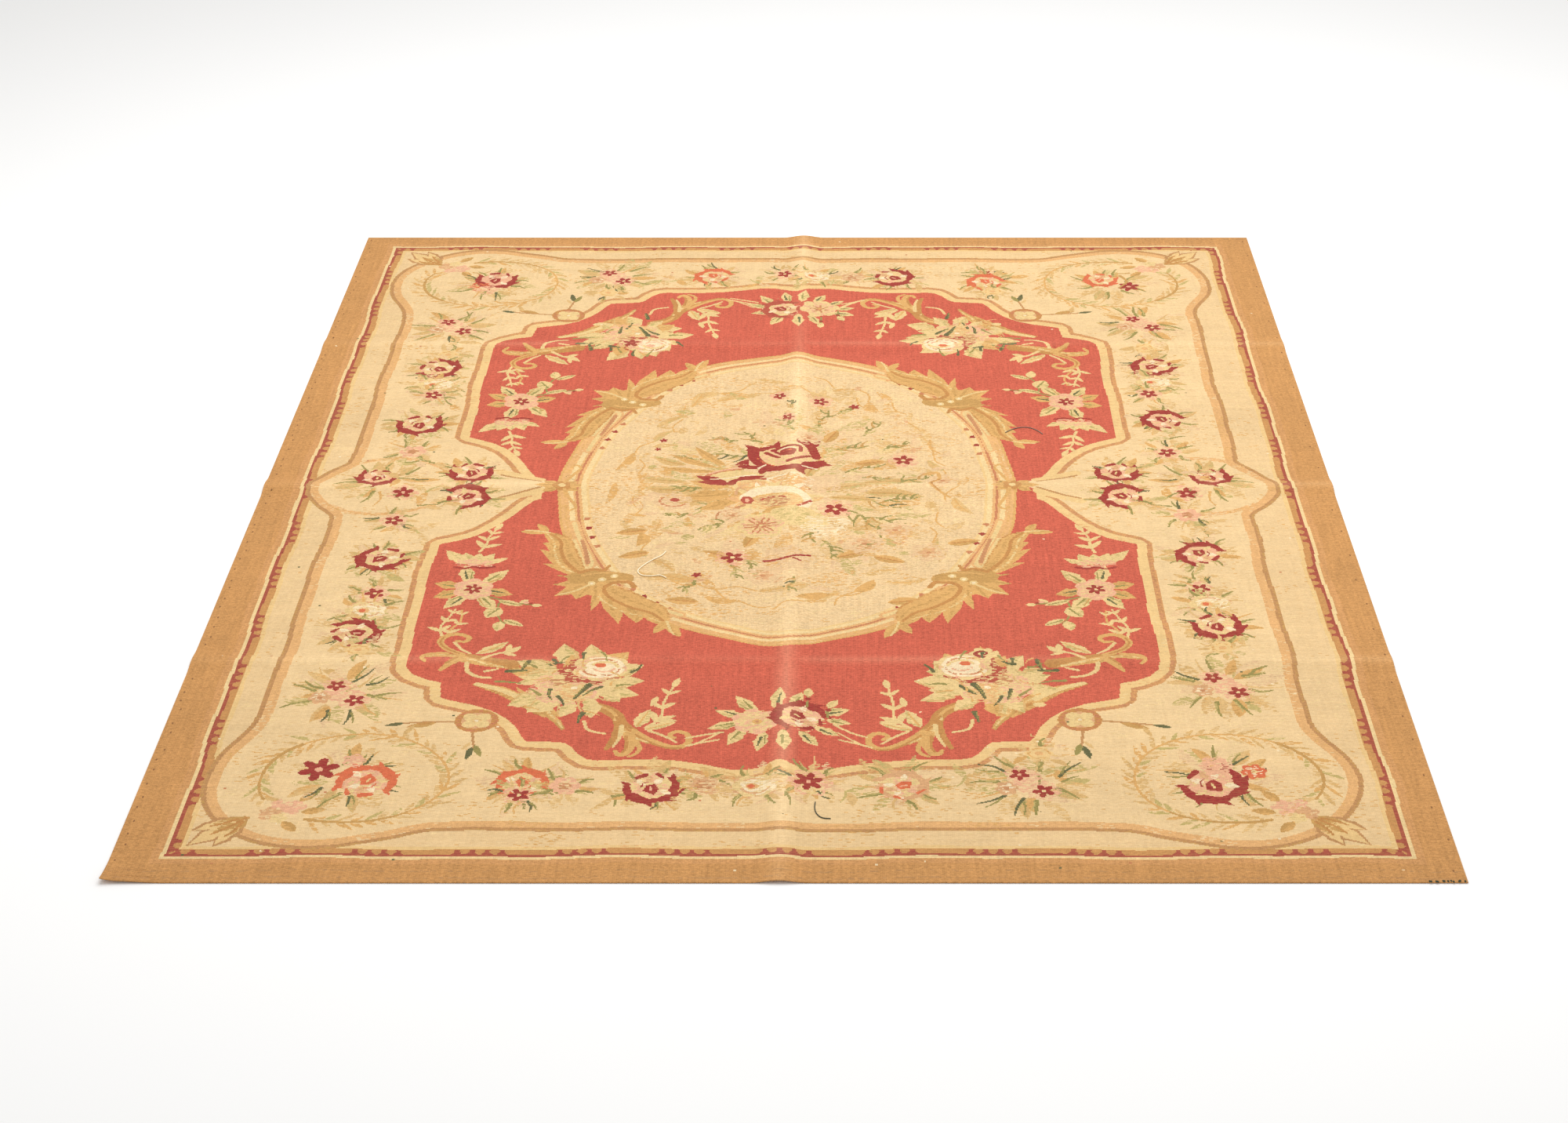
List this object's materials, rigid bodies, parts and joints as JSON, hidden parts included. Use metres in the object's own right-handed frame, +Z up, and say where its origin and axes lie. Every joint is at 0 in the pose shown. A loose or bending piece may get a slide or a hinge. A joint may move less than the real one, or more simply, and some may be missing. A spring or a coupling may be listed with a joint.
{
  "type": "flat-woven rug",
  "caption": "Large rectangular flat-woven wool rug with a floral medallion design, lying flat on the floor with soft storage creases.",
  "frame": {"origin": "on the floor under the middle of the rug", "axes": "+Y along the rug's length, +X across its width, +Z up through its patterned face"},
  "size_m": [2.44, 3.05, 0.0131],
  "materials": {
    "tapestry_wool": "matt flat-woven wool",
    "cream_yarn": "matt wool yarn",
    "dark_yarn": "matt wool yarn",
    "grey_yarn": "matt wool yarn"
  },
  "bodies": {
    "root": {"rug": "tapestry_wool", "loose_end_cream": "cream_yarn", "loose_end_dark": "dark_yarn", "loose_end_grey": "grey_yarn"}
  },
  "joints": []
}
